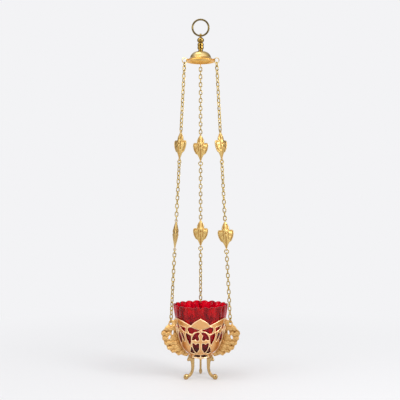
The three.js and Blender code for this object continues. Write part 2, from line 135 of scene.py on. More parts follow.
# %% Rounded outlines and turned pieces
def rounded(corners, radius, closed=True, steps=4):
    corners = [np.array(corner, float) for corner in corners]
    count = len(corners)
    outline = []
    for i, corner in enumerate(corners):
        if not closed and i in (0, count - 1):
            outline.append(corner)
            continue
        before = corners[i - 1] - corner
        after = corners[(i + 1) % count] - corner
        reach = min(radius, 0.46 * np.linalg.norm(before), 0.46 * np.linalg.norm(after))
        start = corner + before / np.linalg.norm(before) * reach
        end = corner + after / np.linalg.norm(after) * reach
        for share in np.linspace(0, 1, steps + 1):
            outline.append((1 - share) ** 2 * start + 2 * share * (1 - share) * corner + share ** 2 * end)
    return np.array(outline)


def turned(profile, steps=96):
    """A closed profile of [radius, height] carried round the vertical axis."""
    profile = np.asarray(profile, float)
    count = len(profile)
    angles = np.linspace(0, 2 * math.pi, steps, endpoint=False)
    points = [(r * math.cos(a), r * math.sin(a), z) for a in angles for r, z in profile]
    faces = []
    for i in range(steps):
        for j in range(count):
            a, b = i * count + j, i * count + (j + 1) % count
            c, d = (i + 1) % steps * count + (j + 1) % count, (i + 1) % steps * count + j
            faces.append((a, b, c, d))
    return points, faces


def barrel(hole, radius, low, high, edge, steps=72):
    """A turned ring of rectangular section with rounded edges."""
    return turned(rounded([[hole, low], [radius, low], [radius, high], [hole, high]], edge), steps)


def circle(x, y, radius_x, radius_y, steps=24, tilt=0.0):
    angles = np.linspace(0, 2 * math.pi, steps, endpoint=False)
    across, along = radius_x * np.cos(angles), radius_y * np.sin(angles)
    turn = math.radians(tilt)
    return np.stack([x + across * math.cos(turn) - along * math.sin(turn),
                     y + across * math.sin(turn) + along * math.cos(turn)], 1)


def ring(radius, wire, steps=72, sides=14):
    """A ring of round wire that stands in the XZ plane."""
    lying = turned(circle(radius, 0, wire, wire, sides), steps)
    return moved(lying, quarter_turn("X"))


# %% [markdown]
# ## Finishes
# A finish is a sum of small causes, such as grain, tarnish and polish. Written as nodes, a sum of six terms
# is a wall of boxes, so a small class wraps a socket and lets Python write the sum: an expression on signals
# adds its Math nodes by itself. Every other node comes from one method that takes the node's type, its
# settings and what goes into its sockets.

# %% Signals and graphs
class Signal:
    """A node's output that takes part in sums and products."""

    def __init__(self, graph, node, output=0):
        self.graph, self.node = graph, node
        self.socket = node.outputs[output] if node.outputs else None

    def out(self, output):
        return Signal(self.graph, self.node, output)

    def _math(self, operation, first, second):
        return self.graph.node("ShaderNodeMath", {"operation": operation}, {0: first, 1: second})

    def __add__(self, other):
        return self._math("ADD", self, other)

    def __radd__(self, other):
        return self._math("ADD", other, self)

    def __sub__(self, other):
        return self._math("SUBTRACT", self, other)

    def __rsub__(self, other):
        return self._math("SUBTRACT", other, self)

    def __mul__(self, other):
        return self._math("MULTIPLY", self, other)

    def __rmul__(self, other):
        return self._math("MULTIPLY", other, self)


class Graph:
    """A node tree that is written from left to right."""

    def __init__(self, tree):
        self.tree = tree

    def node(self, kind, settings=None, sockets=None, output=0):
        node = self.tree.nodes.new(kind)
        for key, value in (settings or {}).items():
            setattr(node, key, value)
        for key, value in (sockets or {}).items():
            if isinstance(value, Signal):
                self.tree.links.new(value.socket, node.inputs[key])
            else:
                node.inputs[key].default_value = value
        return Signal(self, node, output)

    def rise(self, signal, low, high, most=1.0):
        """A mask from 0 to most while the signal goes from low to high."""
        return self.node("ShaderNodeMapRange", {"interpolation_type": "SMOOTHSTEP"},
                         {"Value": signal, "From Min": low, "From Max": high, "To Max": most})

    def blend(self, mask, first, second):
        """The first colour where the mask is 0 and the second where it is 1."""
        return self.node("ShaderNodeMix", {"data_type": "RGBA"}, {0: mask, 6: first, 7: second}, output=2)


# %% [markdown]
# Each finish starts from the same few ideas: noise at a stated size in millimetres, a mask that rises between
# two levels, two colours mixed by a mask, and a bump of a stated height. They read Object coordinates, which
# here are metres in the lamp's frame, so the grain has the same size on every piece.

# %% A finish and its usual parts
class Finish(Graph):
    def __init__(self, name, slot, **values):
        self.material = bpy.data.materials.new(name)
        self.material.use_nodes = True
        self.material["slot"] = slot
        super().__init__(self.material.node_tree)
        self.shader = self.tree.nodes["Principled BSDF"]
        self.place = self.node("ShaderNodeTexCoord").out("Object")
        self.set(**values)

    def set(self, **values):
        for key, value in values.items():
            socket = self.shader.inputs[key.replace("_", " ")]
            if isinstance(value, Signal):
                self.tree.links.new(value.socket, socket)
            else:
                socket.default_value = value

    def noise(self, size, detail=2.0, stretch=(1, 1, 1)):
        """Noise from 0 to 1 with grains of that size in millimetres."""
        spread = self.node("ShaderNodeMapping", None, {0: self.place, 3: stretch})
        return self.node("ShaderNodeTexNoise", None,
                         {"Vector": spread, "Scale": 1 / (size * MM), "Detail": detail})

    def above(self, low, high):
        """A mask that rises between two heights in mm above the feet."""
        height = self.node("ShaderNodeSeparateXYZ", None, {0: self.place}).out("Z")
        return self.rise(height, (low - HOOK_HEIGHT) * MM, (high - HOOK_HEIGHT) * MM)

    def beyond(self, low, high):
        """A mask that rises between two distances in mm from the lamp's axis."""
        flat = self.node("ShaderNodeVectorMath", {"operation": "MULTIPLY"}, {0: self.place, 1: (1, 1, 0)})
        reach = self.node("ShaderNodeVectorMath", {"operation": "LENGTH"}, {0: flat}, output="Value")
        return self.rise(reach, low * MM, high * MM)

    def bump(self, height, depth, strength=1.0):
        return self.node("ShaderNodeBump", None,
                         {"Height": height, "Distance": depth * MM, "Strength": strength})


def colour(red, green, blue):
    """A colour read off a screen, from 0 to 255, as linear light."""
    parts = [value / 255 for value in (red, green, blue)]
    return tuple([p / 12.92 if p <= 0.04045 else ((p + 0.055) / 1.055) ** 2.4 for p in parts] + [1.0])


# %% [markdown]
# All the metal looks like gilt brass, in eight finishes. The spun cap is polished, with faint marks of the
# lathe, and below its dome and inside its brim it is painted a warmer orange: a painted reflection of light
# bounced up from the floor. The ring, the bead and the chains are smooth too, and a haze dulls them in
# patches.

# %% Polished and drawn brass
WARM_BOUNCE_HEIGHTS, WARM_BOUNCE_RADII = (461.9, 465.9), (22.2, 22.8)
# The ring and the chains take darker copies of the polished brass, darkest on the ring: painted shade for the
# dark sides of the room they reflect.
WIRE_GOLDS = [
    ("shaded_chain_gold", "chain_brass", 0.22, (174, 146, 76), (212, 184, 108)),
    ("ring_gold", "polished_brass", 0.22, (112, 94, 54), (146, 126, 78)),
    ("bead_gold", "polished_brass", 0.02, (140, 110, 50), (176, 144, 76)),
]


def polished_gold():
    finish = Finish("polished_gold", "polished_brass", Metallic=1.0)
    marks, haze = finish.noise(1.2, 2, (1, 1, 6)), finish.noise(9, 2)
    # Painted reflection: below the dome foot and inside the brim's radius the colour turns a warmer orange, as
    # if lit by light bounced up from the floor.
    warm_bounce = (1 - finish.above(*WARM_BOUNCE_HEIGHTS)) * (1 - finish.beyond(*WARM_BOUNCE_RADII))
    domed = finish.blend(finish.rise(haze, 0.35, 0.7), colour(200, 168, 104), colour(236, 214, 158))
    finish.set(Base_Color=finish.blend(warm_bounce, domed, colour(240, 184, 94)),
               Roughness=0.2 + 0.1 * haze + 0.04 * marks,
               Normal=finish.bump(marks, 0.004, 0.5))
    return finish.material


def wire_gold(name, slot, roughness, dull, bright):
    finish = Finish(name, slot, Metallic=1.0)
    haze = finish.noise(3.2, 2)
    finish.set(Base_Color=finish.blend(finish.rise(haze, 0.3, 0.7), colour(*dull), colour(*bright)),
               Roughness=roughness + 0.1 * haze,
               Normal=finish.bump(finish.noise(0.6, 3), 0.01, 0.5))
    return finish.material


# %% [markdown]
# The holder, leaves, brackets and feet are cast, and only satin. Their raised parts are painted pale, a
# painted highlight, and their hollows orange or brown, painted shade, so each casting names four tones, from
# the lit edges down to the shaded bottom of the recesses. The four rows are copies of one cast brass, each
# toned for
# how bright its pieces look in this light: painted shade and painted highlight. The number of each point picks
# the tone, and noise makes it patchy.

# %% Cast brass
CAST_GOLDS = [
    ("cast_gold", 0.3, (255, 222, 174), (234, 178, 116), (190, 122, 54), (96, 52, 16)),
    ("leaf_gold", 0.36, (216, 184, 118), (192, 146, 80), (156, 102, 46), (96, 52, 16)),
    ("bracket_gold", 0.34, (234, 196, 132), (196, 150, 90), (138, 92, 42), (74, 44, 14)),
    ("foot_gold", 0.2, (196, 162, 108), (176, 136, 82), (190, 122, 54), (96, 52, 16)),
]


def cast_gold(name, roughness, *tones):
    finish = Finish(name, "cast_brass", Metallic=1.0)
    lit_edge, middle_tone, shaded, deep_shade = [colour(*shade_tone) for shade_tone in tones]
    relief_and_shade = finish.node("ShaderNodeAttribute", {"attribute_name": "relief_and_shade"}).out("Fac")
    grain, patches = finish.noise(0.7, 4), finish.noise(5, 3)
    # Painted highlight and painted shade: low numbers give the pale lit tone, higher ones the darker shaded
    # tones of the hollows.
    depth = relief_and_shade + 0.5 * patches - 0.25
    shade_tone = finish.blend(finish.rise(depth, 0.1, 0.5), lit_edge, middle_tone)
    shade_tone = finish.blend(finish.rise(depth, 0.55, 1.1), shade_tone, shaded)
    finish.set(Base_Color=finish.blend(finish.rise(relief_and_shade, 1.0, 1.8), shade_tone, deep_shade),
               Roughness=roughness + 0.14 * patches,
               Normal=finish.bump(grain + 0.6 * patches, 0.1, 0.6))
    return finish.material


POLISHED = polished_gold()
CAST, LEAF_GOLD, BRACKET_GOLD, FOOT_GOLD = [cast_gold(*row) for row in CAST_GOLDS]
SHADED_CHAIN_GOLD, SHADED_RING_GOLD, BEAD_GOLD = [wire_gold(*row) for row in WIRE_GOLDS]
print("golds", sorted(material.name for material in bpy.data.materials if "gold" in material.name))

# %% [markdown]
# Ruby glass takes its depth from the light that passes it: two walls look darker than one. The Principled
# shader tints light at each surface, so the colour is set for one wall and the mesh has both. Its colour is
# painted darker towards the foot and in streaks up the wall: painted shade for the holder that shades the
# glass from behind. Cork is pale with darker pores, and a cotton wick is a bundle of twisted threads, drawn
# here as slanting bands.

# %% Glass, cork and cotton
SHADED_RED_HEIGHTS, CORK_CELL, THREAD_SCALE = (42, 68), 1.1, 700.0


def ruby_glass():
    finish = Finish("ruby_glass", "red_glass", Transmission_Weight=0.84, IOR=1.34, Specular_IOR_Level=0.05)
    flow, shade_streaks = finish.noise(14, 2), finish.noise(6, 3, (1, 1, 0.35))
    # Painted shade: the red is darker towards the foot, where the holder shades the glass from behind, and in
    # darker streaks up the wall.
    upper = finish.blend(finish.rise(shade_streaks, 0.38, 0.62), colour(234, 6, 36), colour(162, 0, 22))
    finish.set(Base_Color=finish.blend(finish.above(*SHADED_RED_HEIGHTS), colour(142, 0, 3), upper),
               Roughness=0.01 + 0.03 * flow,
               Normal=finish.bump(flow, 0.5, 0.3))
    return finish.material


def cork():
    finish = Finish("cork", "cork")
    cells = finish.node("ShaderNodeTexVoronoi", None, {"Vector": finish.place, "Scale": 1 / (CORK_CELL * MM)})
    pores = finish.rise(finish.noise(1.6, 3), 0.58, 0.7)
    base = finish.blend(cells.out("Distance"), colour(178, 132, 86), colour(206, 164, 116))
    finish.set(Base_Color=finish.blend(pores, base, colour(104, 66, 38)),
               Roughness=0.82 + 0.1 * pores, Normal=finish.bump(1 - pores + cells, 0.2, 0.8))
    return finish.material


def cotton():
    finish = Finish("cotton", "cotton")
    threads = finish.node("ShaderNodeTexWave", {"bands_direction": "DIAGONAL"},
                          {"Vector": finish.place, "Scale": THREAD_SCALE, "Distortion": 1.5})
    finish.set(Base_Color=finish.blend(threads.out("Fac"), colour(206, 196, 170), colour(246, 240, 224)),
               Roughness=0.9 + 0.05 * threads.out("Fac"), Normal=finish.bump(threads.out("Fac"), 0.2, 0.8))
    return finish.material


RUBY = ruby_glass()
CORK = cork()
COTTON = cotton()
print("in the lamp", [material.name for material in (RUBY, CORK, COTTON)])

# %% [markdown]
# ## Ring, swivel and cap
# The top of the lamp is a ring of round wire and lathe work: a bead with an eye that grips the ring, a collar
# in which the bead's stem turns, and a spun cap on a wide brim. Each is one profile carried round its axis.
# The eye is a short turned barrel laid on its side, and the inner side of its profile is the bore. The ring
# is a little thicker than its plain solid, as plated wire is.

# %% Sizes of the top
RING_RADIUS, RING_WIRE, RING_PLATING, RING_CENTRE = 11.8, 1.2, 0.15, 508.8
EYE_RADIUS, EYE_HOLE, EYE_THICKNESS = 3.1, 1.65, 3.0
BALL_RADIUS, BALL_HEIGHT, BALL_SQUASH = 5.0, 490.4, 0.9
STEM_RADIUS, STEM_BELOW, COLLAR_RADIUS, COLLAR_TOP = 1.7, 4.5, 4.5, 486.6
CAP_RADIUS, CAP_TOP, CAP_LIP, CAP_WALL = 21.8, 474.4, 458.9, 1.2
NECK_RADIUS, NECK_WIRE = 1.1, 0.75
DOME_RADIUS, DOME_FOOT = 15.5, 464.0
EYELET_REACH, EYELET_RADIUS, EYELET_WIRE, EYELET_HEIGHT = 26.6, 3.85, 0.62, 458.5


# %% Ring and swivel
def swivel_parts():
    eye = barrel(EYE_HOLE, EYE_RADIUS, -EYE_THICKNESS / 2, EYE_THICKNESS / 2, 0.6, 48)
    eye = moved(eye, shift(0, RING_CENTRE - RING_RADIUS) @ quarter_turn("Y"))
    ball = [(BALL_RADIUS * math.cos(a), BALL_HEIGHT + BALL_SQUASH * BALL_RADIUS * math.sin(a))
            for a in np.linspace(-0.75, 1.15, 22)]
    stem_foot = CAP_TOP - CAP_WALL - STEM_BELOW
    body = [[0, stem_foot], [STEM_RADIUS, stem_foot], [STEM_RADIUS, COLLAR_TOP + GAP], *ball,
            [1.6, BALL_HEIGHT + 4.6], [0, BALL_HEIGHT + BALL_RADIUS]]
    return [eye, turned(body, 72)]


base = CAP_TOP + GAP
collar = rounded([[2.0, base], [3.9, base], [3.2, base + 0.9], [3.3, base + 2.4], [COLLAR_RADIUS, base + 3.2],
                  [COLLAR_RADIUS, base + 6.6], [3.6, base + 7.1], [COLLAR_RADIUS, base + 7.6],
                  [COLLAR_RADIUS, COLLAR_TOP - 1.2], [3.4, COLLAR_TOP], [2.0, COLLAR_TOP]], 1.0)
hanging = moved(ring(RING_RADIUS, RING_WIRE + RING_PLATING, 96), shift(0, RING_CENTRE))
add_piece("ring_of_wire", [hanging], SHADED_RING_GOLD, "ring", ["hanging_ring"])
add_piece("bead_and_stem", swivel_parts(), BEAD_GOLD, "swivel", ["swivel_head"])
add_piece("bead_collar", [turned(collar, 72)], BEAD_GOLD, "cap", ["swivel_collar"])

# %% [markdown]
# The cap was spun from sheet over a former, so its wall has one thickness: the inner profile follows the
# outer one. Three wire eyelets are soldered to its rim, one for each chain, each by a short neck.

# %% The spun cap
outer = [[2.3, CAP_TOP], [6.6, CAP_TOP - 0.5], [11.4, 471.9], [14.4, 468.4], [DOME_RADIUS + 0.3, DOME_FOOT],
         [18.6, 462.5], [CAP_RADIUS - 0.5, 461.0], [CAP_RADIUS, 459.8], [CAP_RADIUS - 1.4, CAP_LIP]]
inner = [[DOME_RADIUS - 1.2, 462.9], [12.9, 467.4], [9.7, 471.0], [2.3, CAP_TOP - CAP_WALL]]
cap_parts = [turned(rounded(outer + inner, 3.0, steps=6), 128)]
eyelet = moved(ring(EYELET_RADIUS, EYELET_WIRE, 40, 10), shift(EYELET_REACH, EYELET_HEIGHT))
neck = moved(ring(NECK_RADIUS, NECK_WIRE, 20, 8), shift(CAP_RADIUS + 0.5, CAP_LIP + NECK_RADIUS))
for azimuth in AZIMUTH.values():
    cap_parts += [moved(eyelet, bearing(azimuth)), moved(neck, bearing(azimuth))]
add_piece("spun_cap", cap_parts, POLISHED, "cap", ["chain_cap"])
print("top of the lamp", made)

# %% [markdown]
# ## Chains
# A chain is one link, repeated: each hangs in the one above at a quarter turn, and the makers let the quarter
# drift a little, so the whole chain twists. Geometry Nodes say exactly that. A line of points is the chain, a
# filleted rectangle swept with a round section is the link, and the turn of each copy follows its index.
# The group's inputs are the sizes a chain maker would ask for.

# %% The link row as a node group
def link_row():
    tree = bpy.data.node_groups.new("link_row", "GeometryNodeTree")
    kinds = {"Count": "NodeSocketInt", "Material": "NodeSocketMaterial"}
    for name in ("Count", "Pitch", "Twist", "Width", "Length", "Wire", "Material"):
        tree.interface.new_socket(name=name, in_out="INPUT", socket_type=kinds.get(name, "NodeSocketFloat"))
    tree.interface.new_socket(name="Geometry", in_out="OUTPUT", socket_type="NodeSocketGeometry")
    graph = Graph(tree)
    asked = graph.node("NodeGroupInput")
    step = graph.node("ShaderNodeCombineXYZ", None, {"Z": -1 * asked.out("Pitch")})
    line = graph.node("GeometryNodeMeshLine", None, {"Count": asked.out("Count"), "Offset": step})
    across = asked.out("Width") - 2 * asked.out("Wire")
    frame_line = graph.node("GeometryNodeCurvePrimitiveQuadrilateral", None,
                            {"Width": across, "Height": asked.out("Length") - 2 * asked.out("Wire")})
    oval = graph.node("GeometryNodeFilletCurve", {"mode": "POLY"},
                      {"Curve": frame_line, "Count": 5, "Radius": 0.499 * across})
    section = graph.node("GeometryNodeCurvePrimitiveCircle", None,
                         {"Resolution": 8, "Radius": asked.out("Wire")})
    link = graph.node("GeometryNodeCurveToMesh", None, {"Curve": oval, "Profile Curve": section})
    upright = graph.node("GeometryNodeTransform", None,
                         {"Geometry": link, "Rotation": (math.pi / 2, 0, math.pi / 2)})
    spin = graph.node("ShaderNodeCombineXYZ", None,
                      {"Z": graph.node("GeometryNodeInputIndex") * asked.out("Twist")})
    copies = graph.node("GeometryNodeInstanceOnPoints", None,
                        {"Points": line, "Instance": upright, "Rotation": spin})
    solid = graph.node("GeometryNodeRealizeInstances", None, {0: copies})
    smooth = graph.node("GeometryNodeSetShadeSmooth", None, {0: solid})
    finished = graph.node("GeometryNodeSetMaterial", None, {0: smooth, "Material": asked.out("Material")})
    graph.node("NodeGroupOutput", None, {0: finished})
    return tree


LINK_ROW = link_row()


def row_of_links(**values):
    """Runs the node group once and returns the row as a part: points in mm and faces."""
    host = in_scene("row", bpy.data.meshes.new("row"))
    modifier = host.modifiers.new("links", "NODES")
    modifier.node_group = LINK_ROW
    for socket in LINK_ROW.interface.items_tree:
        if socket.in_out == "INPUT":
            modifier[socket.identifier] = values.get(socket.name, SHADED_CHAIN_GOLD)
    seen = host.evaluated_get(bpy.context.evaluated_depsgraph_get())
    mesh = bpy.data.meshes.new_from_object(seen)
    bpy.data.objects.remove(host)
    points = np.array([vertex.co for vertex in mesh.vertices])
    return points, [tuple(face.vertices) for face in mesh.polygons]


# %% [markdown]
# One strand goes from its eyelet under the cap to the hole in its bracket. Its pieces hang one under the
# other: a top link, a stretch of links, a leaf, a jump ring, and so on. Walking down the list and adding up
# inner lengths gives each piece its drop, so the chain closes on the bracket without any fitting by eye.

# %% Sizes of a strand
CHAIN_TOP = (EYELET_REACH, EYELET_HEIGHT - EYELET_RADIUS + EYELET_WIRE)
CHAIN_END = (48.8, 84.6)
WIRE, LINK_WIDTH, LINK_LENGTH, LINK_BITE, JUMP_RING = 0.6, 5.2, 7.9, 0.25, 7.0
PLATING = 0.12
LEAF_SPAN = 43.0
STRETCHES = {"upper": 16, "middle": 14, "lower": 16}
TWISTS = {
    "back": {"upper": 0, "middle": 0, "lower": 90},
    "left": {"upper": 20, "middle": -50, "lower": -60},
    "right": {"upper": -20, "middle": -40, "lower": -30},
}
CHAIN_RUN = math.dist(CHAIN_TOP, CHAIN_END)
CHAIN_LEAN = math.atan2(CHAIN_END[0] - CHAIN_TOP[0], CHAIN_TOP[1] - CHAIN_END[1])
LINK_INNER, RING_INNER = LINK_LENGTH - 4 * WIRE, JUMP_RING - 4 * WIRE
PIECES = 2 * (LINK_INNER + RING_INNER + LEAF_SPAN)
PITCH = (CHAIN_RUN + 10 * GAP + 3 * LINK_BITE - PIECES) / sum(STRETCHES.values())
STRETCH_LINK = LINK_LENGTH + PITCH - LINK_INNER - LINK_BITE
print("chain run", round(CHAIN_RUN, 2), "pitch", round(PITCH, 3))


def strand_plan(side):
    """Each separate piece as (drop to its middle, turn), and each stretch as (drop, turn, twist, count)."""
    plan = {}
    drop, turn = -GAP, 0.0
    plan["top_link"] = (drop + LINK_INNER / 2, turn)
    drop += LINK_INNER - GAP
    for part, count in STRETCHES.items():
        twist = TWISTS[side][part] / (count + 1)
        plan[f"{part}_chain"] = (drop + (PITCH - LINK_BITE) / 2, turn + 90 + twist, 90 + twist, count)
        turn += count * (90 + twist)
        drop += count * PITCH - LINK_BITE - GAP
        if part == "lower":
            plan["bottom_link"] = (drop + LINK_INNER / 2, turn + 90 + twist)
            break
        turn += twist
        plan[f"{part}_leaf"] = (drop + LEAF_SPAN / 2, turn)
        drop += LEAF_SPAN - GAP
        plan[f"{part}_ring"] = (drop + RING_INNER / 2, turn)
        drop += RING_INNER - GAP
    return plan


def hung(side, drop, turn):
    """The place of a piece that hangs in a strand."""
    start = bearing(AZIMUTH[side]) @ shift(*CHAIN_TOP) @ Matrix.Rotation(-CHAIN_LEAN, 4, "Y")
    return start @ shift(0, -drop) @ bearing(turn)


# %% Links and jump rings
def links(side, plan, names):
    parts = []
    for name in names:
        drop, turn, *more = plan[name]
        twist, count = more or (0.0, 1)
        is_ring = name.endswith("_ring")
        length = JUMP_RING if is_ring else STRETCH_LINK if more else LINK_LENGTH
        width = JUMP_RING if is_ring else LINK_WIDTH
        row = row_of_links(Count=count, Pitch=PITCH, Twist=math.radians(twist), Wire=WIRE + PLATING,
                           Width=width + 2 * PLATING, Length=length + 2 * PLATING)
        parts.append(moved(row, hung(side, drop, turn)))
    return parts


for side in AZIMUTH:
    plan = strand_plan(side)
    top, bottom = ["top_link"], ["bottom_link"]
    run = ["upper_chain", "upper_ring", "middle_chain", "middle_ring", "lower_chain"]
    if side != "back":
        run += bottom
    groups = [("chain", f"{side}_chain", run), ("first_link", f"{side}_top_link", top)]
    if side == "back":
        groups.append(("last_link", "back_bottom_link", bottom))
    for title, body, names in groups:
        nodes = [f"{side}_{name}" for name in names]
        add_piece(f"{side}_{title}", links(side, plan, names), SHADED_CHAIN_GOLD, body, nodes, crease=60)
print("links", {name: count for name, count in made.items() if "chain" in name or "link" in name})

# %% [markdown]
# ## Cast openwork
# The holder, the brackets, the leaves and the feet are castings: plates with holes, round edges and relief.
# Boolean cuts would leave sharp walls and ragged shading. Instead the plate is measured: for each point of a
# fine triangle sheet the distance to the nearest edge is worked out, positive on metal. The sheet is cut
# where that distance is zero, and again at a few small depths, and the depth then says how far the metal has
# swollen there. Front and back meet at the edge, so the casting is closed and its edges are round.

# %% Distance from the edge
def stretch_distance(points, start, end):
    """Distance in mm from each point to one straight stretch."""
    (ax, ay), (bx, by) = start, end
    x, y = points[:, 0], points[:, 1]
    run = max((bx - ax) ** 2 + (by - ay) ** 2, 1e-12)
    share = np.clip(((x - ax) * (bx - ax) + (y - ay) * (by - ay)) / run, 0, 1)
    return np.hypot(x - ax - share * (bx - ax), y - ay - share * (by - ay))


def line_distance(points, line):
    """Distance in mm from each point to an open line."""
    return np.min([stretch_distance(points, start, end) for start, end in zip(line, line[1:])], 0)


def depth_in(points, outline):
    """Distance in mm from each point to a closed outline, positive inside it."""
    outline = np.asarray(outline, float)
    inside = np.zeros(len(points), bool)
    x, y = points[:, 0], points[:, 1]
    for (ax, ay), (bx, by) in zip(outline, np.roll(outline, -1, axis=0)):
        if ay != by:
            inside ^= ((ay > y) != (by > y)) & (x < ax + (y - ay) * (bx - ax) / (by - ay))
    nearest = line_distance(points, np.vstack([outline, outline[:1]]))
    return np.where(inside, nearest, -nearest)


# %% Cutting the sheet along a depth
SNAP, EDGE = 0.03, 1e-9
ROUND_DEPTHS = (0.0, 0.08, 0.3, 0.75)
FINE_CELL = (0.5, 0.5)


def split_at(points, depth, triangles, level):
    """Cuts the triangles that the line of that depth crosses."""
    depth = np.where(abs(depth - level) < SNAP, level, depth)
    side = np.sign(depth - level)
    low, high = side[triangles].min(1), side[triangles].max(1)
    crossed = (low < 0) & (high > 0)
    kept = [tuple(t) for t in triangles[~crossed]]
    points, depth, new = list(points), list(depth), {}

    def crossing(a, b):
        key = (min(a, b), max(a, b))
        if key not in new:
            share = (level - depth[a]) / (depth[b] - depth[a])
            points.append(points[a] + share * (points[b] - points[a]))
            depth.append(level)
            new[key] = len(points) - 1
        return new[key]

    for corners in triangles[crossed]:
        above, below = [], []
        for a, b in zip(corners, np.roll(corners, -1)):
            if side[a] >= 0:
                above.append(a)
            if side[a] <= 0:
                below.append(a)
            if side[a] * side[b] < 0:
                middle = crossing(a, b)
                above.append(middle)
                below.append(middle)
        for loop in (above, below):
            kept += [(loop[0], loop[k], loop[k + 1]) for k in range(1, len(loop) - 1)]
    return np.array(points), np.array(depth), np.array(kept)


def plate_sheet(low, high, cell, depth_of):
    """The part of a rectangle where depth_of is positive, as points, their depth and triangles."""
    columns, rows = [int(math.ceil((high[i] - low[i]) / cell[i])) for i in (0, 1)]
    xs, ys = np.linspace(low[0], high[0], columns + 1), np.linspace(low[1], high[1], rows + 1)
    points = np.stack(np.meshgrid(xs, ys), -1).reshape(-1, 2)
    triangles = []
    for row in range(rows):
        for column in range(columns):
            a = row * (columns + 1) + column
            b, c, d = a + 1, a + columns + 2, a + columns + 1
            triangles += [(a, b, c), (a, c, d)] if (row + column) % 2 else [(a, b, d), (b, c, d)]
    depth, triangles = depth_of(points), np.array(triangles)
    for level in ROUND_DEPTHS:
        points, depth, triangles = split_at(points, depth, triangles, level)
        if level == 0.0:
            triangles = triangles[depth[triangles].min(1) >= 0]
    used = np.unique(triangles)
    renumber = np.full(len(points), -1)
    renumber[used] = np.arange(len(used))
    return points[used], depth[used], renumber[triangles]


def swell(depth, radius):
    """Height of a round edge: 0 at the edge, 1 from the radius inwards."""
    return np.sqrt(1 - (1 - np.clip(depth / radius, 0, 1)) ** 2)


def smooth_step(value, low, high):
    share = np.clip((value - low) / (high - low), 0, 1)
    return share * share * (3 - 2 * share)


def radial(flat, off):
    """A drawing of radius and height stood in the XZ plane, with its thickness along Y."""
    return np.stack([flat[:, 0], off, flat[:, 1]], 1)


def two_sided(sheet, front, back, place, shade_tone, shade_tone_behind):
    """A closed casting: the sheet at its front and back heights, sharing the points of its edge."""
    points, depth, triangles = sheet
    edge = depth <= EDGE
    behind = np.where(edge, np.arange(len(points)), len(points) + np.cumsum(~edge) - 1)
    solid = np.vstack([place(points, front), place(points, back)[~edge]])
    faces = [tuple(t) for t in triangles] + [tuple(behind[t][::-1]) for t in triangles]
    return solid, faces, np.concatenate([shade_tone, shade_tone_behind[~edge]])


# %% [markdown]
# ## The openwork holder
# The holder is one bowl-shaped casting of three equal panels. Each panel has a cross in a horseshoe medallion
# under an ogee leaf, with slits and solid tongues to both sides, and the bands of its rim rise to the
# brackets. Half a panel is drawn flat, as degrees from the panel's middle and height, and the sheet is then
# bent round the bowl's profile six times, mirrored every other time.

# %% Drawing of half a panel
HOLDER_WALL, HOLDER_FOOT, HOLDER_TOP = 1.6, 31.5, 95.0
HOLDER_PROFILE = [[17.2, HOLDER_FOOT], [17.6, 35.6], [26.8, 42.6], [31.4, 50.4], [35, 66], [40.8, HOLDER_TOP]]
UPPER_EDGE = [[0, 92], [2.4, 90.6], [8, 88.6], [15, 85.4], [21, 81.4], [30, 83.8], [42, 87.2], [60, 89.8]]
OPENINGS = {
    "leaf": [[2.6, 74.2], [15, 76.6], [21, 78.4], [27.4, 77.8], [29.8, 74.6], [26.6, 70], [20, 69.6],
             [15, 72.2]],
    "upper quarter": [[2.2, 70.6], [6, 71.2], [11, 70.2], [16, 67.2], [19.4, 63.4], [20.8, 59.8], [17, 60.6],
                      [13, 62.3], [9.4, 59.8], [5, 60], [4.8, 63], [7.2, 66.4]],
    "lower quarter": [[4.8, 54.9], [8.8, 54.5], [13, 52.3], [17, 54.7], [20.8, 55], [20.2, 48.6], [18, 43.4],
                      [12.8, 39.8], [10.8, 42.6], [5.2, 46.2]],
    "beside medallion": [[23.8, 66.2], [29, 67.4], [35, 69.4], [36.8, 66], [34.6, 60.4], [28.4, 53],
                         [25.6, 57.6]],
    "under band": [[36, 77], [42, 77.2], [51.6, 79.4], [46.4, 74.6], [38.6, 71.4]],
    "slit": [[45.6, 68.8], [52, 69], [49.4, 62.8], [43.2, 57], [43.8, 63.2]],
    "spandrel": [[25.2, 49.6], [36.4, 40.4], [33, 38.6], [22.4, 38.8], [22.2, 42.4]],
    "foot slot": [[3.6, 35.5], [21, 35.8], [38, 33.5], [21, 33.3], [3.6, 33.8]],
    "lens": [[60, 53], [64, 56], [66.4, 60], [66.4, 64.4], [60, 70.4], [53.6, 64.4], [53.6, 60], [56, 56]],
    "eye": [[60, 73], [63.6, 79], [60, 83], [56.4, 79]],
}
OPENING_FILED, PANEL_HALF, HOLDER_CELL = 0.5, 60, (1.05, 0.62)
FIELD_SUNK, FIELD_SHADE, INNER_SHADE = 0.4, 0.5, 0.9
bowl = rounded(HOLDER_PROFILE, 7, closed=False, steps=8)
bowl_run = np.concatenate([[0], np.cumsum(np.hypot(*np.diff(bowl, axis=0).T))])


def unrolled(angles, runs):
    """Places in degrees and run along the profile as flat millimetres."""
    return np.stack([np.radians(angles) * np.interp(runs, bowl_run, bowl[:, 0]), runs], 1)


def on_bowl(angles, heights):
    """A drawing in degrees and height as flat millimetres."""
    return unrolled(angles, np.interp(heights, bowl[:, 1], bowl_run))


def holder_depth(points):
    """Depth of metal for points given as degrees and run along the profile."""
    flat = unrolled(*points.T)
    rim = on_bowl(*rounded(UPPER_EDGE, 2.4, closed=False).T)
    beyond = on_bowl(np.array([75.0, 75.0]), np.array([90.4, HOLDER_FOOT]))
    before = on_bowl(np.array([-15.0, -15.0]), np.array([HOLDER_FOOT, 92.0]))
    depth = depth_in(flat, np.vstack([rim, beyond, before]))
    for outline in OPENINGS.values():
        hole = rounded(on_bowl(*np.transpose(outline)), 1.0)
        depth = np.minimum(depth, -depth_in(flat, hole) - OPENING_FILED)
    return depth


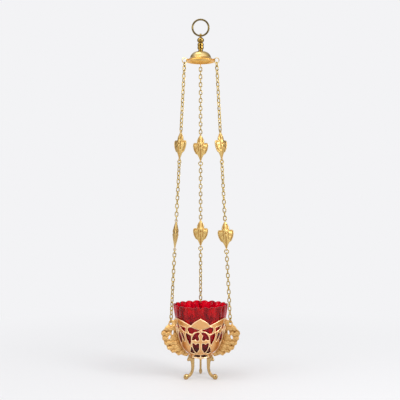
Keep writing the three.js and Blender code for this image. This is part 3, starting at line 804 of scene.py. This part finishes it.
# %% The holder's relief and bending
def bent_round(azimuth, flip):
    slope = np.gradient(bowl, axis=0)
    normals = np.stack([slope[:, 1], -slope[:, 0]], 1) / np.hypot(slope[:, 0], slope[:, 1])[:, None]

    def place(points, height):
        angle = np.radians(azimuth + flip * points[:, 0])
        radius, level = [np.interp(points[:, 1], bowl_run, bowl[:, i]) for i in (0, 1)]
        out, up = [np.interp(points[:, 1], bowl_run, normals[:, i]) for i in (0, 1)]
        reach = radius + height * out
        return np.stack([reach * np.cos(angle), reach * np.sin(angle), level + height * up], 1)
    return place


def holder_parts():
    sheet = plate_sheet((0, 0), (PANEL_HALF, bowl_run[-1]), HOLDER_CELL, holder_depth)
    depth = sheet[1]
    half = HOLDER_WALL / 2
    field = smooth_step(depth, 0.8, 1.4)
    front = -half + half * swell(depth, half) - FIELD_SUNK * field
    back = -half - half * swell(depth, HOLDER_WALL)
    boss = turned(rounded([[0, -0.6], [1.3, -0.5], [1.2, 0.5], [0, 0.9]], 0.5), 16)
    parts = []
    for azimuth in AZIMUTH.values():
        middle = azimuth + PANEL_HALF
        for flip in (1, -1):
            # Painted shade: the sunk fields take a tone halfway to the hollow colour, and the inner side of
            # the bowl, which lies in shade, takes the hollow colour.
            parts.append(two_sided(sheet, front, back, bent_round(middle, flip), FIELD_SHADE * field,
                                   np.full(len(depth), INNER_SHADE)))
        parts.append(moved(boss, bearing(middle) @ shift(37.3, 75) @ quarter_turn("Y")))
    return parts + [barrel(2.6, 17.1, HOLDER_FOOT, 33, 0.4)]


add_piece("gilt_holder", holder_parts(), CAST, "holder", ["openwork_holder"])
print("holder faces", made["gilt_holder"])

# %% [markdown]
# ## Brackets
# Each bracket is a pierced acanthus leaf that stands out from the bowl and takes a chain in its upper end.
# The outline gets a small ripple outwards, as the edge of such a leaf is toothed. The carving is a depth at
# each point. It is deep in the valleys between leaflets and in a few pits, and shallow in a groove along the
# spine, in one along the middle of each leaflet, and in the fine veins that slant from that.

# %% The acanthus bracket
BRACKET_HALF, LUG_HALF = 1.1, 0.6
BRACKET_EDGE = [
    [39.9, 87.4], [45.4, 87.2], [51.4, 87], [53.2, 81.2], [57, 79], [60, 75.4], [63.8, 73.2],
    [65, 68.4], [62.6, 66.2], [63, 60.6], [60, 58.8], [59.6, 53.2], [56.2, 52], [54.4, 45.4],
    [50.6, 44.8], [47, 39.8], [42.8, 40.6], [36.4, 34.8], [32.6, 36.8], [27, 33.8], [22.4, 33.2],
    [21, 35.2], [18.9, 36.1], [20.2, 37.1], [24.6, 40.2], [28.9, 45.2], [32.2, 50.4], [36.4, 62],
    [40, 70], [41.6, 77.4], [40.6, 80.6], [38.9, 82.4],
]
SPINE = [[45, 84], [43.6, 76], [42.4, 68], [40.6, 60], [37.4, 51], [33, 44.6], [26, 38.6]]
LEAFLETS = [[[44, 79], [52, 83.4]], [[43.4, 75], [60.4, 76.6]], [[42, 66], [64.4, 69.6]],
            [[41, 61], [62.8, 62]], [[39, 55], [59.4, 54.6]], [[37, 50], [54, 46.8]],
            [[34, 46], [46.8, 41]], [[29, 41], [37, 36]], [[24, 38], [27.4, 34.6]]]
PITS = [[50.6, 52, 1.3], [46.4, 79.6, 1.2], [56, 71, 0.9], [44, 48.4, 0.9], [57, 60, 0.8], [39.6, 41.4, 0.8]]
CHAIN_HOLE, LUG_HEIGHTS, TEETH, TOOTH = 1.9, (78.5, 80.5), 2.3, 0.6
VEIN_STEP, CARVING, CARVING_MOST = 2.6, 0.5, 0.8


def crinkled(outline):
    """The outline with a small ripple on its outer side."""
    dense = []
    for start, end in zip(outline, np.roll(outline, -1, axis=0)):
        count = max(int(np.hypot(*(end - start)) / 0.35), 1)
        dense += [start + (end - start) * k / count for k in range(count)]
    dense = np.array(dense)
    along = np.roll(dense, -1, axis=0) - np.roll(dense, 1, axis=0)
    run = np.cumsum(np.hypot(*along.T)) / 2
    across = np.stack([along[:, 1], -along[:, 0]], 1) / np.hypot(*along.T)[:, None]
    outer = smooth_step(dense[:, 0] - np.interp(dense[:, 1], [36, 44, 60, 88], [24, 42, 52, 60]), -2, 3)
    wave = np.abs(np.sin(math.pi * run / TEETH))
    return dense - across * (TOOTH * wave * outer)[:, None]


def acanthus_relief(points):
    """Depth of the carving: valleys between leaflets, a groove along each, and veins that slant from it."""
    warped = points + 0.7 * np.sin(0.9 * points[:, ::-1] + np.array([0.0, 1.3]))
    nearest = np.full(len(points), 1e9)
    carving = np.zeros(len(points))
    for number, (start, end) in enumerate(np.array(LEAFLETS, float)):
        length = np.linalg.norm(end - start)
        way = (end - start) / length
        along = (warped - start) @ way
        across = np.abs((warped - start) @ np.array([-way[1], way[0]]))
        distance = np.hypot(across, along - np.clip(along, 0, length))
        vein = np.abs(np.sin(math.pi * (along - 0.8 * across + 0.7 * number) / VEIN_STEP))
        cut = 0.3 * (1 - smooth_step(vein, 0, 0.6)) * smooth_step(across, 0.2, 0.9)
        cut += 0.3 * np.exp(-(across / 0.35) ** 2) + 0.65 * smooth_step(distance, 1.5, 3.3)
        carving = np.where(distance < nearest, cut, carving)
        nearest = np.minimum(nearest, distance)
    return carving


def bracket_part():
    edge = crinkled(rounded(BRACKET_EDGE, 1.8)[::-1])[::-1]
    holes = [circle(CHAIN_END[0], CHAIN_END[1] - CHAIN_HOLE, CHAIN_HOLE, CHAIN_HOLE),
             circle(46, 69.6, 1.6, 3.3, tilt=8), circle(51, 63.3, 1.9, 2.9, tilt=20)]

    def depth_of(points):
        depth = depth_in(points, edge)
        for hole in holes:
            depth = np.minimum(depth, -depth_in(points, hole))
        return depth

    sheet = plate_sheet((18, 32), (67, 89), FINE_CELL, depth_of)
    points, depth = sheet[:2]
    x, z = points.T
    spine = line_distance(points, SPINE)
    pits = sum(np.exp(-((x - pit_x) ** 2 + (z - pit_z) ** 2) / size ** 2) for pit_x, pit_z, size in PITS)
    is_lug = smooth_step(z, *LUG_HEIGHTS)
    half = BRACKET_HALF + (LUG_HALF - BRACKET_HALF) * is_lug
    relief_and_shade = acanthus_relief(points) + 0.4 * np.exp(-(spine / 0.7) ** 2) + 0.9 * pits
    relief_and_shade = relief_and_shade * (1 - is_lug) * smooth_step(depth, 0.1, 0.9)
    height = half * swell(depth, ROUND_DEPTHS[-1]) - np.minimum(CARVING * relief_and_shade, CARVING_MOST)
    # Painted shade: the carved valleys, grooves and pits are toned darker by how deep they are.
    shade_tone = 0.25 + 0.8 * relief_and_shade
    return two_sided(sheet, height, -height, radial, shade_tone, shade_tone)


bracket = bracket_part()
for side, azimuth in AZIMUTH.items():
    add_piece(f"{side}_acanthus", [moved(bracket, bearing(azimuth))], BRACKET_GOLD, "holder",
              [f"{side}_bracket"])
print("bracket faces", made["back_acanthus"])

# %% [markdown]
# ## Leaf ornaments
# Two leaves hang in each chain: a pointed bud over two curled lobes and a long tail, ribbed on both faces.
# The body is thick along its middle and thin at its edge. Two short lists give its half width and its half
# thickness at each drop from the top tip, and grooves for the bud, the ribs and the tail are cut into it. The
# eyes are bored wider than the plain solid's and are thinner, so that they turn free of the plated links.

# %% The leaf
LEAF_EDGE = [[0, 0.9], [3.1, 2.7], [7.3, 4.9], [10.4, 5.6], [11.5, 4.9], [12.2, 6.6], [11.7, 9.4],
             [13.6, 11.2], [17.5, 11.5], [22.9, 10.3], [27.2, 8.2], [28.6, 7.2], [29.6, 4.9], [34.4, 2.4],
             [39, 0.9]]
LEAF_BODY = [[0, 0.9], [3.1, 1.9], [7.3, 3.1], [12, 4.1], [17.5, 4.5], [22.9, 4.1], [28.2, 3.2], [34.4, 1.9],
             [39, 0.9]]
LEAF_HEIGHT, LEAF_EYE_HOLE, LEAF_EYE_RADIUS, LEAF_EYE_HALF = 39.0, 1.1, 2.3, 0.55
EYE_WIDENED, LEAF_CARVING, LEAF_EDGE_HALF, LOBE_DROP = 0.35, 0.6, 0.8, 15.5


def sideways(flat, off):
    """A drawing of width and height stood in the YZ plane, with its thickness along X."""
    return np.stack([off, flat[:, 0], flat[:, 1]], 1)


def leaf_parts():
    half = [[width, LEAF_HEIGHT / 2 - drop] for drop, width in LEAF_EDGE]
    edge = rounded(half + [[-x, z] for x, z in reversed(half)], 1.1)
    sheet = plate_sheet((-12, -20), (12, 20), FINE_CELL, lambda points: depth_in(points, edge))
    points, depth = sheet[:2]
    y, drop = np.abs(points[:, 0]), LEAF_HEIGHT / 2 - points[:, 1]
    width = np.interp(drop, *np.array(LEAF_EDGE).T)
    thick = np.interp(drop, *np.array(LEAF_BODY).T)
    to_middle = 1 - np.clip(y / np.maximum(width, 1), 0, 1)
    ridge = LEAF_EDGE_HALF + (thick - LEAF_EDGE_HALF) * to_middle ** 1.1
    angle = np.arctan2(y, drop - LOBE_DROP)
    in_lobe = smooth_step(y, 2.2, 4) * smooth_step(drop, 11.6, 13.5) * (1 - smooth_step(drop, 27, 29))
    in_bud = (1 - smooth_step(drop, 10.4, 12)) * smooth_step(drop, 2, 4)
    in_tail = smooth_step(drop, 20, 22)
    cuts = 0.45 * in_lobe * (0.5 + 0.5 * np.cos(7 * angle))
    cuts += 0.8 * in_lobe * np.exp(-((depth - 1.8) / 0.55) ** 2)
    cuts += in_bud * (1.2 * np.exp(-((y - 2.3) / 0.9) ** 2) + 0.4 * np.exp(-(y / 0.4) ** 2))
    cuts += in_tail * 1.3 * np.exp(-(y / 0.7) ** 2)
    cuts += 1.9 * np.exp(-(y ** 2 + (drop - 16.8) ** 2) / 1.3)
    beside_tail = smooth_step(drop, 12.5, 14) * (1 - smooth_step(drop, 24, 27))
    cuts += 0.9 * np.exp(-((y - 3.1) / 0.6) ** 2) * beside_tail
    cuts = LEAF_CARVING * np.minimum(cuts, 0.8 * ridge) * smooth_step(depth, 0.15, 1.0)
    height = swell(depth, ROUND_DEPTHS[-1]) * ridge - cuts
    # Painted shade: the cut grooves are toned darker by their depth.
    shade_tone = np.clip(cuts, 0, 1.5)
    body = two_sided(sheet, height, -height, sideways, shade_tone, shade_tone)
    eye = barrel(LEAF_EYE_HOLE + EYE_WIDENED, LEAF_EYE_RADIUS, -LEAF_EYE_HALF, LEAF_EYE_HALF, 0.35, 28)
    reach = LEAF_SPAN / 2 - LEAF_EYE_HOLE
    return [body] + [moved(eye, shift(0, end) @ quarter_turn("X")) for end in (reach, -reach)]


leaf = leaf_parts()
for side in AZIMUTH:
    plan = strand_plan(side)
    for part in ("upper_leaf", "middle_leaf"):
        placed = [moved(piece, hung(side, *plan[part])) for piece in leaf]
        add_piece(f"{side}_{part}_cast", placed, LEAF_GOLD, f"{side}_{part}", [f"{side}_{part}"])
print("leaf faces", made["back_upper_leaf_cast"])

# %% [markdown]
# ## Base and feet
# Three feet are carried by a turned disc under the holder: a strap drops from the disc and curls outwards to
# a flattened ball, and a knob sits on its upper curl. The strap is a casting like the brackets, with a
# rounder edge, so the same sheet serves it.

# %% The feet
BASE_RADIUS, BASE_TOP, BASE_THICKNESS = 13.5, 31.2, 1.2
FOOT_RADIUS, FOOT_HALF, FOOT_REACH, FOOT_FLAT, LEG_HALF = 4.2, 2.5, 24.0, 0.5, 1.5
KNOB_RADIUS, LEG_ROUND = 1.9, 1.6
UNDER_DISC = BASE_TOP - BASE_THICKNESS - GAP
LEG_EDGE = [[10.4, UNDER_DISC], [10.6, 16], [11.8, 10.4], [14, 6], [17.6, 2.6], [23, 1], [24, 5.6],
            [19.6, 6.8], [16.8, 9.8], [15.4, 14.6], [15.9, 22], [16.8, 26.2], [20.2, 25.9], [22.2, 28.6],
            [20.8, 31.6], [20, 34.8], [17.8, 34.8], [17.8, BASE_TOP], [14.1, BASE_TOP], [14.1, UNDER_DISC]]


def foot_parts():
    edge = rounded(LEG_EDGE, LEG_ROUND)
    sheet = plate_sheet((8, 0), (27, 37), FINE_CELL, lambda points: depth_in(points, edge))
    height = LEG_HALF * swell(sheet[1], LEG_ROUND)
    plain = np.zeros(len(height))
    strap = two_sided(sheet, height, -height, radial, plain, plain)
    angles = np.linspace(-math.pi / 2, math.pi / 2, 28)
    ball = [(FOOT_RADIUS * math.cos(a), max(FOOT_RADIUS * (1 + math.sin(a)) - FOOT_FLAT, 0)) for a in angles]
    flatten = Matrix.Scale(FOOT_HALF / FOOT_RADIUS, 4, (0, 1, 0))
    ball = moved(turned(ball, 48), shift(FOOT_REACH, 0) @ flatten)
    knob = [(KNOB_RADIUS * math.cos(a), KNOB_RADIUS * math.sin(a))
            for a in np.linspace(-math.pi / 2, math.pi / 2, 12)]
    knob = moved(turned(knob, 24), shift(20.6, 27.8))
    return [strap, ball, knob]


foot = foot_parts()
for side, azimuth in AZIMUTH.items():
    add_piece(f"{side}_foot_cast", [moved(part, bearing(azimuth)) for part in foot], FOOT_GOLD, "holder",
              [f"{side}_leg"])
disc = barrel(2.3, BASE_RADIUS, BASE_TOP - BASE_THICKNESS, BASE_TOP, 0.5, 96)
add_piece("turned_disc", [disc], CAST, "holder", ["base_disc"])
print("foot faces", made["back_foot_cast"], "disc faces", made["turned_disc"])

# %% [markdown]
# ## The glass
# The glass was pressed in a mould with twenty flutes. They are deep at the rim, where each ends in a small
# arch, and fade out down the wall. One function gives the radius at any height and angle, and the inner wall
# follows the outer one at the wall's thickness.

# %% The pressed glass
GLASS_RADIUS, GLASS_TOP, GLASS_WALL, SCALLOPS = 40.0, 106.7, 2.4, 20
SCALLOP_DEPTH, ARCH_DEPTH, FLUTE_DEPTH = 1.7, 1.9, 0.4
GLASS_FOOT, INNER_FLOOR = 37.2, 40.4
GLASS_PROFILE = [[15.4, GLASS_FOOT], [24.4, 42.8], [29.4, 51.2], [33.1, 67.4], [38.4, 94],
                 [GLASS_RADIUS, GLASS_TOP]]


def glass_part():
    outer = rounded(GLASS_PROFILE, 6, closed=False, steps=6)
    inward = outer - np.array([GLASS_WALL, 0])
    thick = INNER_FLOOR - GLASS_FOOT
    inward[:, 1] += np.interp(outer[:, 1], [GLASS_FOOT, 46, 60, GLASS_TOP], [thick, 1.6, 0.4, 0])
    lip = [[GLASS_RADIUS - 0.6, GLASS_TOP + 0.35], [GLASS_RADIUS - GLASS_WALL + 0.6, GLASS_TOP + 0.35]]
    profile = np.vstack([[[0, GLASS_FOOT]], outer, lip, inward[::-1], [[0, INNER_FLOOR]]])
    steps = 12 * SCALLOPS
    points, faces = turned(profile, steps)
    points = np.array(points)
    angle = np.arctan2(points[:, 1], points[:, 0]) + math.pi / 2
    arch = 1 - np.abs(np.sin(angle * SCALLOPS / 2)) ** 0.8
    share = smooth_step(points[:, 2], 84, GLASS_TOP - 2)
    flute = FLUTE_DEPTH * smooth_step(points[:, 2], 46, 60)
    radius = np.hypot(points[:, 0], points[:, 1])
    shrink = 1 - arch * (SCALLOP_DEPTH * share + flute * (1 - share)) / np.maximum(radius, 10)
    points[:, :2] *= shrink[:, None]
    points[:, 2] -= arch * ARCH_DEPTH * smooth_step(points[:, 2], GLASS_TOP - 10, GLASS_TOP)
    return points, faces


add_piece("ruby_cup", [glass_part()], RUBY, "glass", ["glass_cup"], crease=50)
print("glass faces", made["ruby_cup"])

# %% [markdown]
# Inside the glass floats a cork with a brass tube that holds the wick. It hardly shows from outside, but it
# is what makes a vessel a lamp, and it shows from above.

# %% Float, tube and wick
FLOAT_RADIUS, FLOAT_HEIGHT, FLOAT_TOP, WICK_RADIUS = 12.0, 41.2, 46.2, 1.4
cork_ring = barrel(2.3, FLOAT_RADIUS, FLOAT_HEIGHT, FLOAT_TOP, 0.9, 64)
tube_profile = rounded([[1.7, 42.2], [2.1, 42.2], [2.1, 46.5], [6, 46.5], [6, 47], [2.1, 47], [2.1, 50.6],
                        [1.7, 50.6]], 0.15)
wick_profile = rounded([[0, 41.4], [WICK_RADIUS, 41.4], [WICK_RADIUS, 52.4], [0.8, 53.8], [0, 53.8]], 0.5,
                       closed=False)
add_piece("cork_float", [cork_ring], CORK, "float", ["wick_float"])
add_piece("brass_tube", [turned(tube_profile, 48)], POLISHED, "float", ["wick_tube"])
add_piece("cotton_wick", [turned(wick_profile, 24)], COTTON, "float", ["wick"])

# %% [markdown]
# The nut in the cap and the screw and nut of the base hardly show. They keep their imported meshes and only
# take the polished finish.

# %% Carried pieces
for name in ("swivel_nut", "base_screw", "base_nut"):
    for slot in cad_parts[name].material_slots:
        slot.material = POLISHED
print("pieces", len(made), "faces", sum(made.values()))

# %% [markdown]
# ## The studio
# The lamp stands before a nearly white background. Gold shows what is around it, so the world has three
# faces. A ray straight from the camera meets the plain background, and one that has passed through glass a
# brighter white, so that the ruby glows. All other rays meet a room. It is bright above, behind the lamp and
# to both sides of the camera, and dark behind the camera and beside the lamp. That gives round brass its
# dark lines.

# %% World, floor and lamps
CAMERA_DISTANCE, CAMERA_HEIGHT = 1.075, -0.2584
BACKGROUND, BEHIND_GLASS = colour(243, 243, 245), (1.9, 1.9, 1.9, 1.0)


def studio_world():
    world = bpy.data.worlds.new("studio")
    bpy.context.scene.world = world
    world.use_nodes = True
    world.node_tree.nodes.clear()
    graph = Graph(world.node_tree)
    way = graph.node("ShaderNodeTexCoord").out("Generated")
    towards = graph.node("ShaderNodeSeparateXYZ", None, {0: way})
    back, up = towards.out("Y"), towards.out("Z")
    room = 0.14 + graph.rise(back, 0.75, 0.97, 0.5) + graph.rise(back, 0.35, -0.35, 0.75)
    room = room - graph.rise(back, -0.8, -0.92, 0.83) + graph.rise(up, 0.2, 0.8, 0.45)
    rays = graph.node("ShaderNodeLightPath")
    plain = graph.blend(rays.out("Is Camera Ray"), room, BACKGROUND)
    shown = graph.blend(rays.out("Is Transmission Ray"), plain, BEHIND_GLASS)
    light = graph.node("ShaderNodeBackground", None, {"Color": shown})
    graph.node("ShaderNodeOutputWorld", None, {0: light})


def floor():
    finish = Finish("studio_floor", "", Base_Color=colour(226, 226, 228), Roughness=0.6,
                    Specular_IOR_Level=0.2)
    low = -HOOK_HEIGHT * MM
    spread = finish.node("ShaderNodeVectorMath", {"operation": "DISTANCE"},
                         {0: finish.place, 1: (0, 0, low)}, output="Value")
    plain = finish.rise(spread, 0.15, 0.7)
    glow = finish.node("ShaderNodeEmission", None, {"Color": BACKGROUND})
    seen = finish.node("ShaderNodeMixShader", None,
                       {0: 0.3 + 0.7 * plain, 1: Signal(finish, finish.shader), 2: glow})
    finish.tree.links.new(seen.socket, finish.tree.nodes["Material Output"].inputs["Surface"])
    mesh = bpy.data.meshes.new("floor")
    mesh.from_pydata([(-8, -4, low), (8, -4, low), (8, 14, low), (-8, 14, low)], [], [(0, 1, 2, 3)])
    mesh.materials.append(finish.material)
    in_scene("floor", mesh)


def softbox(name, place, aim, size, power):
    light = bpy.data.lights.new(name, "AREA")
    light.shape, light.size, light.size_y, light.energy = "RECTANGLE", *size, power
    lamp = in_scene(name, light)
    lamp.location = place
    lamp.rotation_euler = (Vector(aim) - Vector(place)).to_track_quat("-Z", "Y").to_euler()


studio_world()
floor()
MIDDLE = (0, 0, -0.3)
softbox("key_right", (1.05, -0.75, 0.25), MIDDLE, (0.4, 0.7), 9)
softbox("fill_left", (-1.05, -0.65, 0.1), MIDDLE, (0.5, 0.9), 2.6)
softbox("top", (-0.3, -0.15, 1.1), MIDDLE, (0.8, 0.7), 4)
print("lamps", [light.name for light in bpy.data.lights])

# %% [markdown]
# The picture was taken level with the middle of the lamp, from about a metre. How flat the lamp's circles
# look at two heights gives that distance, and so do the rows of the front and back feet. The lens comes from
# the lamp's size in the frame.

# %% Camera
camera_data = bpy.data.cameras.new("camera")
camera_data.lens, camera_data.sensor_width = 66.5, 36.0
camera_data.shift_x, camera_data.shift_y = -0.0015, -0.005
camera = in_scene("camera", camera_data)
camera.location = (0, -CAMERA_DISTANCE, CAMERA_HEIGHT)
camera.rotation_euler = (math.pi / 2, 0, 0)
bpy.context.scene.camera = camera
bpy.context.scene.view_settings.view_transform = "Standard"
print("camera", CAMERA_DISTANCE, "m from the lamp's axis")
